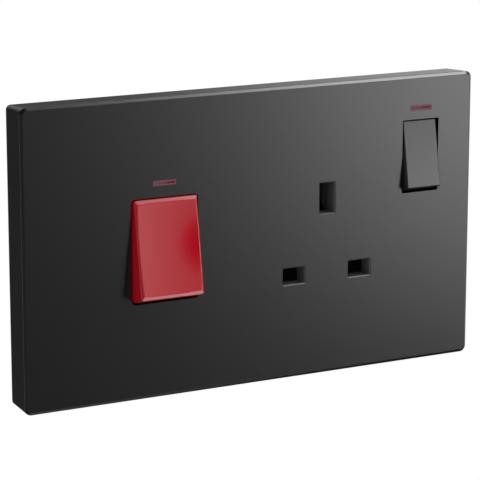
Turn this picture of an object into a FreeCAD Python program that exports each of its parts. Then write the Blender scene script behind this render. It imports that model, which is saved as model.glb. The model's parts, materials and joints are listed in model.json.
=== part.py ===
import FreeCAD
import Part
import math
import os

# Cooker control unit: a double-pole cooker switch and a switched 13 A socket behind one clip-on plate.
# Millimetres. X runs to the right, Y into the wall, Z up. The wall plane is y = 0 and the plate stands
# in front of it. Both rockers are drawn switched off, with their tops pressed in.

# Front plate
plate_width = 147.0
plate_height = 87.0
plate_depth = 11.0
plate_corner = 2.0
plate_face = 1.8
plate_wall = 1.8
plate_lean = 0.6
edge_bevel_in = 0.88
edge_bevel_deep = 0.64
edge_round = 0.22
hook_length = 8.0
hook_height = 1.4
hook_reach = 0.9
hook_up = 1.3
hook_clearance = 0.3
hook_from_middle_x = 44.0
hook_from_middle_z = 19.5

# Clearances
running_gap = 0.2
seat_gap = 0.1
bearing_gap = 0.05
window_gap = 0.3
frame_gap = 0.3
# How far a cutter runs past the face that it opens, and how level an edge has to be to be picked
cut_past = 1.0
pick_slack = 0.01

# Carrier frame
deck = 2.0
deck_setback = 5.6
rim = 2.0
fixing_centres = 120.6
fixing_hole_r = 2.0
fixing_boss_r = 4.5
fixing_head_r = 3.6
fixing_head_deep = 1.0
pillar_half = 3.0
pillar_edge = 7.0
pillar_skin = 1.0
tube_window_side = 0.6
tube_window_end = 3.2

# Cooker switch, on the left
cooker_x = -29.7
cooker_z = -0.3
cooker_tilt = 9.0
cooker_width = 20.7
cooker_end_r = 14.95
cooker_proud = 3.35
cooker_side_draft = 0.55
cooker_corner = 1.2
cooker_edge = 0.65
cooker_brow_high = 1.3
cooker_brow_deep = 0.7
dish_deep = 0.48
dish_r = 300.0
pole_offset = 6.5

# Socket switch, at the top right
switch_x = 55.5
switch_z = 19.3
switch_tilt = 9.5
switch_width = 12.0
switch_end_r = 10.7
switch_proud = 0.9
switch_side_draft = 0.35
switch_corner = 0.25
switch_edge = 0.15
switch_brow_high = 0.3
switch_brow_deep = 0.15

# Rockers and what they drive
trunnion_r = 1.4
trunnion_length = 2.2
ear_thick = 2.1
ear_half = 3.2
rocker_wall = 1.6
rocker_skirt = 1.0
tube_r = 2.8
tube_bore_r = 1.95
tube_end = 7.0
plunger_r = 1.8
plunger_reach = 13.5
plunger_tail = 10.5
spring_wire_r = 0.28
spring_r = 1.45
spring_turns = 3.0

# Contacts
contact_tilt = 8.0
contact_wide = 6.0
contact_thick = 1.4
contact_tip_at = 10.0
switch_tip_at = 7.5
contact_tail = 1.5
contact_tip_r = 1.6
contact_tip_high = 0.7
bead_r = 0.8
cradle_half = 2.2
cradle_drop = 0.5
strap_thick = 1.2
strap_wide = 6.0
link_wide = 3.0
contact_gap = 0.05

# Terminals
terminal_wide = 9.6
terminal_deep = 9.0
terminal_long = 12.0
terminal_bore_r = 2.9
terminal_screw_r = 2.2
terminal_screw_long = 4.2
screw_slot_wide = 0.9
screw_slot_deep = 1.1

# Socket outlet
socket_x = 23.5
pin_spacing = 22.23
socket_z = -1.7
slot_wide = 7.5
slot_high = 5.05
earth_wide = 5.15
earth_high = 9.2
slot_break = 0.3
collar_wall = 1.2
collar_deep = 5.0
pin_thick_gap = 4.3
clip_leaf = 0.8
clip_wide = 6.4
earth_clip_wide = 8.0
earth_pin_reach = 22.7
pin_end_gap = 0.5

# Shutter
shutter_thick = 1.8
shutter_travel = 6.2
shutter_lap = 0.6
shutter_stem = 5.2
shutter_arm = 4.0
shutter_spring_r = 1.35
shutter_spring_wire_r = 0.28
shutter_spring_turns = 3.0
shutter_spring_long = 10.0
shutter_pad = 2.0
shutter_pad_side = 0.6
spring_seat_side = 1.0
ramp_root = 1.0
ramp_thick = 2.4
ramp_room = 2.0

# Indicators
cooker_lamp_z = 18.95
switch_lamp_z = 33.75
lens_wide = 7.3
lens_high = 1.45
lens_flange = 1.1
lens_flange_thick = 1.0
lamp_r = 1.7
lamp_long = 9.0
resistor_r = 1.0
resistor_waist_r = 0.8
resistor_cap = 1.4
resistor_long = 6.0
lead_gap = 1.5
holder_thick = 1.5
holder_wall = 0.8

# Base moulding
base_half_x = 54.0
base_half_z = 33.0
base_deep = 26.0
base_corner = 3.0
base_edge = 0.8
base_wall = 2.0
switch_bay_half = 9.5
core_wall = 3.0
core_screw = 8.0
screw_well_gap = 0.6
contact_side_gap = 0.5
assembly_screw_r = 1.4
assembly_head_r = 2.8
assembly_head_high = 2.0
assembly_head_y = 6.0
assembly_thread_gap = 0.05
assembly_edge_x = 5.0
assembly_edge_z = 7.0
assembly_from_socket = 12.0

# Swing of the contacts: both switches lift their tips equally
tip_lift = contact_tip_at * math.sin(math.radians(contact_tilt))
switch_contact_tilt = math.degrees(math.asin(tip_lift / switch_tip_at))
tip_slant = contact_tip_r * math.sin(math.radians(switch_contact_tilt))

# Planes across the depth of the unit
y_face = -plate_depth
y_plate_back = y_face + plate_face
y_pivot = y_plate_back + running_gap + trunnion_r
y_deck = y_plate_back + deck_setback
y_deck_back = y_deck + deck
y_collar = y_face + collar_deep
y_shutter = y_collar + running_gap
y_bar = y_pivot + plunger_reach + contact_gap
y_contact_axis = y_bar + contact_thick
y_strap = y_contact_axis + tip_lift + tip_slant + 2.0 * contact_tip_high + contact_gap
y_strap_back = y_strap + strap_thick
y_earth_strap = y_face + earth_pin_reach + pin_end_gap + clip_leaf
y_earth_strap_back = y_earth_strap + strap_thick
y_lamp = y_plate_back + lens_flange_thick + frame_gap + lamp_r

# Places across the face
half_w = plate_width / 2.0
half_h = plate_height / 2.0
inner_w = half_w - plate_lean - plate_wall
inner_h = half_h - plate_lean - plate_wall
frame_w = inner_w - frame_gap
frame_h = inner_h - frame_gap
neutral_x = cooker_x + pole_offset
line_x = cooker_x - pole_offset
earth_z = socket_z + pin_spacing / 2.0
live_z = socket_z - pin_spacing / 2.0
socket_neutral_x = socket_x - pin_spacing / 2.0
socket_line_x = socket_x + pin_spacing / 2.0
cooker_fixed_z = cooker_z + contact_tip_at * math.cos(math.radians(contact_tilt))
switch_fixed_z = switch_z + switch_tip_at * math.cos(math.radians(switch_contact_tilt))
switch_contact_half = switch_tip_at + contact_tail
edge_stop = base_half_z - base_wall - running_gap


def vec(x, y, z):
    return FreeCAD.Vector(x, y, z)


def box(x0, x1, y0, y1, z0, z1):
    return Part.makeBox(x1 - x0, y1 - y0, z1 - z0, vec(x0, y0, z0))


def block(x, z, half_x, half_z, y0, y1):
    return box(x - half_x, x + half_x, y0, y1, z - half_z, z + half_z)


def rod_y(x, z, r, y0, y1):
    return Part.makeCylinder(r, y1 - y0, vec(x, y0, z), vec(0, 1, 0))


def rod_x(y, z, r, x0, x1):
    return Part.makeCylinder(r, x1 - x0, vec(x0, y, z), vec(1, 0, 0))


def outline(half_x, half_z, r, y, x=0.0, z=0.0):
    """A closed rectangle with round corners, standing in the plane at depth y."""
    corner_mid = r * (1.0 - math.sqrt(0.5))
    edges = []
    for sx, sz in ((1, 1), (-1, 1), (-1, -1), (1, -1)):
        upright = vec(x + sx * half_x, y, z + sz * (half_z - r))
        level = vec(x + sx * (half_x - r), y, z + sz * half_z)
        middle = vec(x + sx * (half_x - corner_mid), y, z + sz * (half_z - corner_mid))
        ends = (upright, level) if sx == sz else (level, upright)
        edges.append((ends[0], middle, ends[1]))
    curves = []
    for here, after in zip(edges, edges[1:] + edges[:1]):
        curves.append(Part.Arc(*here).toShape())
        curves.append(Part.LineSegment(here[2], after[0]).toShape())
    return Part.Wire(curves)


def slab(half_x, half_z, r, y0, y1, x=0.0, z=0.0):
    face = Part.Face(outline(half_x, half_z, r, y0, x, z))
    return face.extrude(vec(0, y1 - y0, 0))


def taper(half_x, half_z, r, y0, grow, y1, x=0.0, z=0.0):
    """A slab whose outline grows evenly on all sides between two depths."""
    near = outline(half_x, half_z, r, y0, x, z)
    far = outline(half_x + grow, half_z + grow, r + grow, y1, x, z)
    return Part.makeLoft([near, far], True, True)


def prism_x(points, x0, x1):
    """A straight prism along X over a closed outline of (y, z) points."""
    corners = [vec(x0, y, z) for y, z in points]
    wire = Part.makePolygon(corners + corners[:1])
    return Part.Face(wire).extrude(vec(x1 - x0, 0, 0))


def strip(points, wide, y0, y1):
    """A flat stamped strip of one width that follows level and upright runs between (x, z) points."""
    h = wide / 2.0
    runs = []
    for (xa, za), (xb, zb) in zip(points, points[1:]):
        runs.append(box(min(xa, xb) - h, max(xa, xb) + h, y0, y1, min(za, zb) - h, max(za, zb) + h))
    return join(runs)


def join(shapes):
    body = shapes[0]
    if len(shapes) > 1:
        body = body.multiFuse(shapes[1:])
    return body.removeSplitter()


def tilt(shape, angle, y, z):
    """Turn about the level axis along X through (y, z)."""
    turned = shape.copy()
    turned.rotate(vec(0, y, z), vec(1, 0, 0), angle)
    return turned


def coil(r, wire_r, length, turns):
    """A spring along +Z from the origin, its wire drawn with four sides."""
    path = Part.makeHelix(length / turns, length, r)
    corners = []
    for k in range(4):
        turn = math.radians(90.0 * k)
        corners.append(vec(r + wire_r * math.cos(turn), 0, wire_r * math.sin(turn)))
    section = Part.makePolygon(corners + corners[:1])
    return Part.Wire(path.Edges).makePipeShell([section], True, True)


def pin_slots(margin, y0, y1):
    """The three pin apertures, widened all round by a margin, as cutters between two depths."""
    live_half_x = slot_wide / 2.0 + margin
    live_half_z = slot_high / 2.0 + margin
    return [
        block(socket_neutral_x, live_z, live_half_x, live_half_z, y0, y1),
        block(socket_line_x, live_z, live_half_x, live_half_z, y0, y1),
        block(socket_x, earth_z, earth_wide / 2.0 + margin, earth_high / 2.0 + margin, y0, y1),
    ]


def slot_breaks():
    """The small bevels round the mouths of the pin apertures."""
    cuts = []
    places = (
        (socket_neutral_x, live_z, slot_wide, slot_high),
        (socket_line_x, live_z, slot_wide, slot_high),
        (socket_x, earth_z, earth_wide, earth_high),
    )
    for x, z, wide, high in places:
        deep = y_face + slot_break
        cuts.append(taper(wide / 2.0, high / 2.0, slot_break / 2.0, deep, slot_break, y_face, x, z))
    return cuts


def hook_places():
    """Middle points and wall directions of the clips between the plate and the frame."""
    places = []
    for side in (-1, 1):
        for along in (-1, 1):
            places.append((along * hook_from_middle_x, side, "level"))
        places.append((side * hook_from_middle_z, side, "upright"))
    return places


def hook(margin, reach):
    """The clip ridges inside the plate's walls, or with a margin the windows they click into."""
    y1 = -hook_up + margin
    y0 = -hook_up - hook_height - margin
    half = hook_length / 2.0 + margin
    ridges = []
    for along, side, run in hook_places():
        if run == "level":
            inner = side * (inner_h - reach)
            outer = side * (inner_h + plate_wall / 2.0)
            ridges.append(box(along - half, along + half, y0, y1, min(inner, outer), max(inner, outer)))
        else:
            inner = side * (inner_w - reach)
            outer = side * (inner_w + plate_wall / 2.0)
            ridges.append(box(min(inner, outer), max(inner, outer), y0, y1, along - half, along + half))
    return ridges


def front_plate():
    """The clip-on plate: leaning walls, a bevelled edge, rocker and lamp windows, pin apertures."""
    bevel_y = y_face + edge_bevel_deep
    walls = taper(half_w - plate_lean, half_h - plate_lean, plate_corner - plate_lean, 0.0,
                  plate_lean, bevel_y)
    crown = taper(half_w - edge_bevel_in, half_h - edge_bevel_in, plate_corner - edge_bevel_in, y_face,
                  edge_bevel_in, bevel_y)
    shell = join([walls, crown])
    rims = [e for e in shell.Edges if e.BoundBox.YLength < pick_slack and e.BoundBox.YMax < y_plate_back]
    shell = shell.makeFillet(edge_round, rims)
    shell = shell.cut(slab(inner_w, inner_h, plate_corner - plate_lean, y_plate_back, 0.0))
    shell = join([shell] + hook(0.0, hook_reach) + pin_slots(collar_wall, y_plate_back, y_collar))
    before = y_face - cut_past
    behind = y_plate_back + cut_past
    windows = pin_slots(0.0, before, y_collar + cut_past) + slot_breaks()
    windows.append(slab(cooker_width / 2.0 + window_gap, cooker_end_r + window_gap, cooker_corner,
                        before, behind, cooker_x, cooker_z))
    windows.append(slab(switch_width / 2.0 + window_gap, switch_end_r + window_gap, switch_corner,
                        before, behind, switch_x, switch_z))
    for x, z in ((cooker_x, cooker_lamp_z), (switch_x, switch_lamp_z)):
        windows.append(block(x, z, lens_wide / 2.0 + bearing_gap, lens_high / 2.0 + bearing_gap,
                             before, behind))
    return shell.cut(windows).removeSplitter()


def assembly_places():
    """The four screws that draw the base up to the frame."""
    far_x = base_half_x - assembly_edge_x
    far_z = base_half_z - assembly_edge_z
    beside_bay = socket_x + assembly_from_socket
    return ((-far_x, far_z), (-far_x, -far_z), (far_x, -far_z), (beside_bay, far_z))


def bearing_ear(x0, x1, z):
    """An upright lug with a slot, open to the front, in which a rocker's trunnion turns."""
    lug = box(x0, x1, y_plate_back + running_gap, y_deck, z - ear_half, z + ear_half)
    seat_r = trunnion_r + bearing_gap
    seat = rod_x(y_pivot, z, seat_r, x0, x1)
    mouth = box(x0, x1, y_plate_back, y_pivot, z - seat_r, z + seat_r)
    return lug.cut([seat, mouth])


def ears(x, z, width):
    inner = width / 2.0 + window_gap + running_gap
    outer = inner + ear_thick
    return [bearing_ear(x + inner, x + outer, z), bearing_ear(x - outer, x - inner, z)]


def lamp_holder(x, z):
    """Two forked posts that carry a neon lamp behind its lens."""
    posts = []
    for side in (-1, 1):
        at = x + side * (lamp_long / 2.0 - holder_thick)
        post = block(at, z, holder_thick / 2.0, lamp_r + holder_wall, y_lamp, y_deck)
        posts.append(post.cut(rod_x(y_lamp, z, lamp_r + seat_gap, at - holder_thick, at + holder_thick)))
    return posts


def shutter_guides():
    """Ribs beside the shutter and the block that its spring pushes against."""
    half = (pin_spacing + slot_wide) / 2.0 + shutter_lap + running_gap
    low = live_z - slot_high / 2.0 - shutter_travel - shutter_lap
    ribs = []
    for side in (-1, 1):
        inner = socket_x + side * half
        outer = socket_x + side * (half + rim)
        ribs.append(box(min(inner, outer), max(inner, outer), y_collar, y_deck, low, live_z + slot_high))
    seat_z = shutter_seat_z()
    seat_half = shutter_spring_r + spring_seat_side
    ribs.append(box(socket_x - seat_half, socket_x + seat_half, y_shutter - shutter_thick, y_deck,
                    seat_z - rim, seat_z))
    return ribs


def shutter_seat_z():
    return live_z - slot_high / 2.0 - shutter_lap - shutter_pad - shutter_spring_long


def carrier_frame():
    """The moulded frame behind the plate: deck, rim, bearings, shutter ribs and wall fixings."""
    tray = slab(frame_w, frame_h, plate_corner, y_deck, 0.0)
    inside = slab(frame_w - rim, frame_h - rim, plate_corner, y_deck_back, cut_past)
    before = y_deck - cut_past
    behind = y_deck_back + cut_past
    adds = ears(cooker_x, cooker_z, cooker_width) + ears(switch_x, switch_z, switch_width)
    adds += lamp_holder(cooker_x, cooker_lamp_z) + lamp_holder(switch_x, switch_lamp_z)
    adds += shutter_guides()
    cuts = pin_slots(frame_gap, before, behind)
    for x, z in assembly_places():
        adds.append(block(x, z, pillar_half, pillar_half, y_plate_back, y_deck))
        cuts.append(rod_y(x, z, assembly_screw_r + assembly_thread_gap, y_plate_back + pillar_skin, behind))
    for sx in (-1, 1):
        for sz in (-1, 1):
            adds.append(block(sx * (frame_w - pillar_edge), sz * (frame_h - pillar_edge),
                              pillar_half, pillar_half, y_plate_back, y_deck))
        x = sx * fixing_centres / 2.0
        adds.append(rod_y(x, 0.0, fixing_boss_r, y_deck, 0.0))
        cuts.append(rod_y(x, 0.0, fixing_hole_r, before, cut_past))
        cuts.append(rod_y(x, 0.0, fixing_head_r, before, y_deck + fixing_head_deep))
    side = tube_r + tube_window_side
    end = tube_r + tube_window_end
    cuts.append(block(cooker_x, cooker_z, pole_offset + side, end, before, behind))
    cuts.append(block(switch_x, switch_z, side, end, before, behind))
    earth_half = earth_wide / 2.0 + frame_gap
    ramp_low = earth_z - earth_high / 2.0 - shutter_travel - ramp_room
    cuts.append(box(socket_x - earth_half, socket_x + earth_half, before, behind, ramp_low, earth_z))
    frame = join([tray.cut(inside)] + adds)
    return frame.cut(cuts + hook(hook_clearance, hook_reach + hook_clearance)).removeSplitter()


def bevel_corners(front, start, slope, deep, side):
    """The triangle, as (y, across) points, that bevels a face from start outwards to a depth."""
    near = front - cut_past
    far = front + deep + cut_past
    low = start - cut_past * slope
    top = start + (deep + cut_past) * slope
    return [(near, side * low), (far, side * top), (near, side * top)]


def upright_wedge(corners, half_z):
    """A wedge along Z over a triangle of (y, x) points."""
    points = [vec(x, y, -half_z) for y, x in corners]
    return Part.Face(Part.makePolygon(points + points[:1])).extrude(vec(0, 0, 2.0 * half_z))


def face_bevels(half, front, reach, lean, draft, edge, brow_high, brow_deep):
    """The wedges cut off a rocker: a brow above and below, drafted sides and a narrow bevel on each side."""
    proud = y_face - y_pivot - front
    slope = draft / proud
    wedges = []
    for side in (-1, 1):
        brow = bevel_corners(front, reach - brow_high, brow_high / brow_deep + lean, brow_deep, side)
        wedges.append(prism_x(brow, -half, half))
        flank = bevel_corners(front, half - draft, slope, proud, side)
        wedges.append(upright_wedge(flank, 2.0 * reach))
        narrow = bevel_corners(front, half - draft - edge, 1.0 + slope, edge, side)
        wedges.append(upright_wedge(narrow, 2.0 * reach))
    return wedges


def thumb_dish():
    """The large ball that hollows the cooker rocker's face."""
    front = -(y_pivot - y_face + cooker_proud)
    return Part.makeSphere(dish_r, vec(0, front + dish_deep - dish_r, 0))


def rocker(width, end_r, proud, swing, draft, corner, edge, brow_high, brow_deep, tube_places):
    """A rocker about its pivot, level, with drafted sides, trunnions and tubes.

    Each end is round about the axis, and flat towards the front, so that it lies along the window's wall
    when it is pressed in. A bevel, the brow, runs along the face's upper and lower edges.
    """
    front = -(y_pivot - y_face + proud)
    lean = math.tan(math.radians(swing))
    flat_y = -end_r * math.sin(math.radians(swing))
    flat_z = end_r * math.cos(math.radians(swing))
    reach = flat_z - (flat_y - front) * lean
    skirt = math.sqrt(end_r ** 2 - rocker_skirt ** 2)
    half = width / 2.0
    top_front = vec(-half, front, reach)
    top_flat = vec(-half, flat_y, flat_z)
    top_back = vec(-half, rocker_skirt, skirt)
    low_front = vec(-half, front, -reach)
    low_flat = vec(-half, flat_y, -flat_z)
    low_back = vec(-half, rocker_skirt, -skirt)
    rim_wire = Part.Wire([
        Part.LineSegment(low_front, top_front).toShape(),
        Part.LineSegment(top_front, top_flat).toShape(),
        Part.Arc(top_flat, vec(-half, 0, end_r), top_back).toShape(),
        Part.LineSegment(top_back, low_back).toShape(),
        Part.Arc(low_back, vec(-half, 0, -end_r), low_flat).toShape(),
        Part.LineSegment(low_flat, low_front).toShape(),
    ])
    body = Part.Face(rim_wire).extrude(vec(width, 0, 0))
    uprights = []
    for e in body.Edges:
        size = e.BoundBox
        if size.XLength < pick_slack and size.ZLength < end_r:
            uprights.append(e)
    body = body.makeFillet(corner, uprights)
    body = body.cut(face_bevels(half, front, reach, lean, draft, edge, brow_high, brow_deep))
    hollow_half = half - draft - rocker_wall
    hollow = box(-hollow_half, hollow_half, front + rocker_wall, rocker_skirt, -reach + rocker_wall,
                 reach - rocker_wall)
    body = body.cut(hollow)
    adds = [rod_x(0.0, 0.0, trunnion_r, half - rocker_wall, half + trunnion_length),
            rod_x(0.0, 0.0, trunnion_r, -half - trunnion_length, -half + rocker_wall)]
    for x in tube_places:
        adds.append(rod_y(x, 0.0, tube_r, front + rocker_wall, tube_end))
    bores = [rod_y(x, 0.0, tube_bore_r, front + 2.0 * rocker_wall, tube_end) for x in tube_places]
    return join([body] + adds).cut(bores)


def plunger():
    """The sprung pin in a rocker's tube, round at the end that presses the contact bar."""
    top = plunger_reach - plunger_r
    stem = rod_y(0.0, 0.0, plunger_r, plunger_reach - plunger_tail, top)
    return join([stem, Part.makeSphere(plunger_r, vec(0, top, 0))])


def plunger_spring(proud):
    """The coil between the blind end of a rocker's tube and its plunger."""
    start = -(y_pivot - y_face + proud) + 2.0 * rocker_wall + spring_wire_r + bearing_gap
    end = plunger_reach - plunger_tail - spring_wire_r - bearing_gap
    spring = coil(spring_r, spring_wire_r, end - start, spring_turns)
    spring.rotate(vec(0, 0, 0), vec(1, 0, 0), -90.0)
    spring.translate(vec(0, start, 0))
    return spring


def on_rocker(shape, x, z, angle, shift=0.0):
    """Carry a piece from its level place about the pivot to the switched-off place in the unit."""
    placed = shape.copy()
    placed.translate(vec(x + shift, y_pivot, z))
    return tilt(placed, -angle, y_pivot, z)


def contact_bar(x, z, tip_at, angle):
    """A see-saw contact: a flat bar with a bead to rock on and a raised tip at its upper end."""
    bar = block(x, z, contact_wide / 2.0, tip_at + contact_tail, y_bar, y_contact_axis)
    bead = rod_x(y_contact_axis, z, bead_r, x - contact_wide / 2.0, x + contact_wide / 2.0)
    tip = rod_y(x, z + tip_at, contact_tip_r, y_bar, y_contact_axis + contact_tip_high)
    return tilt(join([bar, bead, tip]), angle, y_contact_axis, z)


def cradle(x, z):
    """The post on a strap with the groove that a see-saw contact rocks in."""
    post = block(x, z, contact_wide / 2.0, cradle_half, y_contact_axis + cradle_drop, y_strap)
    return post.cut(rod_x(y_contact_axis, z, bead_r + bearing_gap, x - contact_wide, x + contact_wide))


def fixed_tip(x, z):
    return rod_y(x, z, contact_tip_r, y_strap - contact_tip_high, y_strap)


def terminal_block(x, side, y0):
    """A brass tunnel terminal: conductor bore along Z, open at the unit's edge, screw hole at the rear."""
    mouth = side * (base_half_z - running_gap)
    inner = mouth - side * terminal_long
    body = box(x - terminal_wide / 2.0, x + terminal_wide / 2.0, y0, y0 + terminal_deep,
               min(mouth, inner), max(mouth, inner))
    bore_end = vec(x, y0 + terminal_deep / 2.0, min(mouth, inner))
    bore = Part.makeCylinder(terminal_bore_r, terminal_long, bore_end, vec(0, 0, 1))
    screw = rod_y(x, (mouth + inner) / 2.0, terminal_screw_r + bearing_gap, y0 + terminal_deep / 2.0,
                  y0 + terminal_deep)
    return body.cut([bore, screw])


def terminal_screw(x, side, y0):
    """A slotted clamp screw, backed off so that the conductor bore is free."""
    z = side * (base_half_z - running_gap - terminal_long / 2.0)
    start = y0 + terminal_deep / 2.0 + terminal_bore_r + bearing_gap
    end = start + terminal_screw_long
    slot = block(x, z, terminal_screw_r, screw_slot_wide / 2.0, end - screw_slot_deep, end)
    return rod_y(x, z, terminal_screw_r, start, end).cut(slot)


def terminal_places():
    """Each terminal's name, place, side of the unit and front plane."""
    return (
        ("supply_line_terminal", line_x, -1, y_strap_back),
        ("supply_neutral_terminal", neutral_x, -1, y_strap_back),
        ("cooker_line_terminal", line_x, 1, y_strap_back),
        ("cooker_neutral_terminal", neutral_x, 1, y_strap_back),
        ("earth_terminal", socket_x, -1, y_earth_strap_back),
    )


def leg(x, z0, z1, y0, y1):
    """A straight upright stretch of the wide strap."""
    return box(x - strap_wide / 2.0, x + strap_wide / 2.0, y0, y1, min(z0, z1), max(z0, z1))


def link_level():
    """Height of the line strap's first run, between the neutral pole's post and its fixed contact."""
    return (cooker_z + cradle_half + cooker_fixed_z - contact_tip_r) / 2.0


def line_route():
    """The line strap's run from the cooker switch across the unit to the socket switch."""
    turn_x = (neutral_x + socket_neutral_x) / 2.0
    return [(line_x, link_level()), (turn_x, link_level()), (turn_x, switch_z), (switch_x, switch_z)]


def switched_route():
    """The switched line strap's run from the socket switch's fixed contact round to the line clip."""
    right = switch_x + contact_wide / 2.0 + link_wide
    low = switch_z - switch_contact_half
    down_x = socket_line_x + clip_wide / 2.0 + link_wide
    return [(switch_x, switch_fixed_z), (right, switch_fixed_z), (right, low), (down_x, low),
            (down_x, live_z), (socket_line_x, live_z)]


def neutral_route():
    return [(neutral_x, live_z), (socket_neutral_x, live_z)]


def supply_line_strap():
    down = leg(line_x, link_level(), -edge_stop, y_strap, y_strap_back)
    link = strip(line_route(), link_wide, y_strap, y_strap_back)
    return join([down, link, cradle(line_x, cooker_z), cradle(switch_x, switch_z)])


def supply_neutral_strap():
    down = leg(neutral_x, cooker_z + cradle_half, -edge_stop, y_strap, y_strap_back)
    link = strip(neutral_route(), link_wide, y_strap, y_strap_back)
    return join([down, link, cradle(neutral_x, cooker_z)])


def load_strap(x):
    """The strap from a fixed contact up to an outgoing terminal."""
    up = leg(x, cooker_fixed_z - contact_tip_r, edge_stop, y_strap, y_strap_back)
    return join([up, fixed_tip(x, cooker_fixed_z)])


def switched_line_strap():
    run = strip(switched_route(), link_wide, y_strap, y_strap_back)
    return join([run, fixed_tip(switch_x, switch_fixed_z)])


def earth_strap():
    return leg(socket_x, earth_z + earth_clip_wide / 2.0, -edge_stop, y_earth_strap, y_earth_strap_back)


def clip(y0, y1, wide):
    """A folded spring clip about the origin, its leaves above and below a pin, flared at the mouth."""
    near = pin_thick_gap / 2.0
    far = near + clip_leaf
    flare = clip_leaf
    inside = [(y0, near + flare), (y0 + flare, near), (y1 - clip_leaf, near), (y1 - clip_leaf, -near),
              (y0 + flare, -near), (y0, -near - flare)]
    outside = [(y0, -far - flare), (y0 + flare, -far), (y1, -far), (y1, far), (y0 + flare, far),
               (y0, far + flare)]
    return prism_x(inside + outside, -wide / 2.0, wide / 2.0)


def socket_clip(x):
    shape = clip(y_deck_back + seat_gap, y_strap, clip_wide)
    shape.translate(vec(x, 0, live_z))
    return shape


def earth_clip():
    shape = clip(y_deck_back + shutter_stem / 2.0, y_earth_strap, earth_clip_wide)
    shape.rotate(vec(0, 0, 0), vec(0, 1, 0), 90.0)
    shape.translate(vec(socket_x, 0, earth_z))
    return shape


def shutter():
    """The sliding shutter: flaps over the two live apertures and a ramp that the earth pin pushes down."""
    back = y_shutter + shutter_thick
    top = live_z + slot_high / 2.0 + shutter_lap
    bottom = live_z - slot_high / 2.0 - shutter_lap
    half = (pin_spacing + slot_wide) / 2.0 + shutter_lap
    ramp_low = earth_z - earth_high / 2.0
    ramp_end = y_deck_back + shutter_arm / 2.0
    ramp_rise = ramp_end - y_shutter
    bar = box(socket_x - half, socket_x + half, y_shutter, back, bottom, top)
    stem = box(socket_x - shutter_stem / 2.0, socket_x + shutter_stem / 2.0, y_shutter, back, top, ramp_low)
    ramp_top = ramp_low + ramp_rise
    ramp = prism_x([(y_shutter, ramp_low - ramp_root), (y_shutter, ramp_low), (ramp_end, ramp_top),
                    (ramp_end, ramp_top - ramp_thick), (back, ramp_low - ramp_root)],
                   socket_x - shutter_arm / 2.0, socket_x + shutter_arm / 2.0)
    pad_half = shutter_spring_r + shutter_pad_side
    pad = box(socket_x - pad_half, socket_x + pad_half, y_shutter - shutter_thick, back,
              bottom - shutter_pad, bottom)
    return join([bar, stem, ramp, pad])


def shutter_spring():
    end_gap = shutter_spring_wire_r + bearing_gap
    spring = coil(shutter_spring_r, shutter_spring_wire_r, shutter_spring_long - 2.0 * end_gap,
                  shutter_spring_turns)
    spring.translate(vec(socket_x, y_shutter, shutter_seat_z() + end_gap))
    return spring


def lens(x, z):
    """A red indicator lens, flush with the plate, with a flange behind it."""
    stem = block(x, z, lens_wide / 2.0, lens_high / 2.0, y_face, y_plate_back)
    flange = block(x, z, lens_wide / 2.0 + lens_flange, lens_high / 2.0 + lens_flange, y_plate_back,
                   y_plate_back + lens_flange_thick)
    return join([stem, flange])


def neon_lamp(x, z):
    """A small glass lamp lying along X: a tube with one round end and one pinched end."""
    left = x - lamp_long / 2.0
    right = x + lamp_long / 2.0
    tube = rod_x(y_lamp, z, lamp_r, left + lamp_r, right - lamp_r)
    tail = Part.makeCone(lamp_r, lamp_r / 2.0, lamp_r, vec(right - lamp_r, y_lamp, z), vec(1, 0, 0))
    return join([tube, Part.makeSphere(lamp_r, vec(left + lamp_r, y_lamp, z)), tail])


def resistor(x, z):
    """The ballast resistor beside a lamp, lying on the deck: a body with a cap on each end."""
    y = y_deck - seat_gap - resistor_r
    right = x - lamp_long / 2.0 - lead_gap
    left = right - resistor_long
    caps = [rod_x(y, z, resistor_r, at, at + resistor_cap) for at in (left, right - resistor_cap)]
    return join([rod_x(y, z, resistor_waist_r, left, right)] + caps)


def assembly_screw(x, z):
    """A long screw from the rear, its slotted head down a well in the base."""
    head_y = assembly_head_y
    shank = rod_y(x, z, assembly_screw_r, y_plate_back + pillar_skin + seat_gap, head_y - assembly_head_high)
    head = rod_y(x, z, assembly_head_r, head_y - assembly_head_high, head_y)
    slot = block(x, z, assembly_head_r, screw_slot_wide / 2.0, head_y - screw_slot_deep, head_y)
    return join([shank, head]).cut(slot)


def link_room(route):
    """The groove for a strap's link, open to the front."""
    return strip(route, link_wide + 2.0 * running_gap, y_deck_back - cut_past, y_strap_back + seat_gap)


def leg_room(x, z0, z1, y1):
    """The groove for a strap's wide leg, open to the front."""
    half = strap_wide / 2.0 + running_gap
    return box(x - half, x + half, y_deck_back - cut_past, y1 + seat_gap, z0 - running_gap, z1 + running_gap)


def contact_room(x, z, bar_half):
    """The well that a see-saw contact rocks in."""
    return block(x, z, contact_wide / 2.0 + contact_side_gap, bar_half + contact_tail,
                 y_deck_back - cut_past, y_strap_back + seat_gap)


def terminal_room(x, side, y0):
    """The pocket that a terminal slides into from the unit's edge."""
    inner = side * (base_half_z - 2.0 * running_gap - terminal_long)
    edge = side * (base_half_z + cut_past)
    half = terminal_wide / 2.0 + running_gap
    return box(x - half, x + half, y0 - strap_thick, y0 + terminal_deep + running_gap, min(inner, edge),
               max(inner, edge))


def screw_well(x, side, y0):
    """The round hole in the rear through which a terminal screw is reached."""
    z = side * (base_half_z - running_gap - terminal_long / 2.0)
    return rod_y(x, z, terminal_screw_r + screw_well_gap, y0 + terminal_deep / 2.0, base_deep + cut_past)


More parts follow.
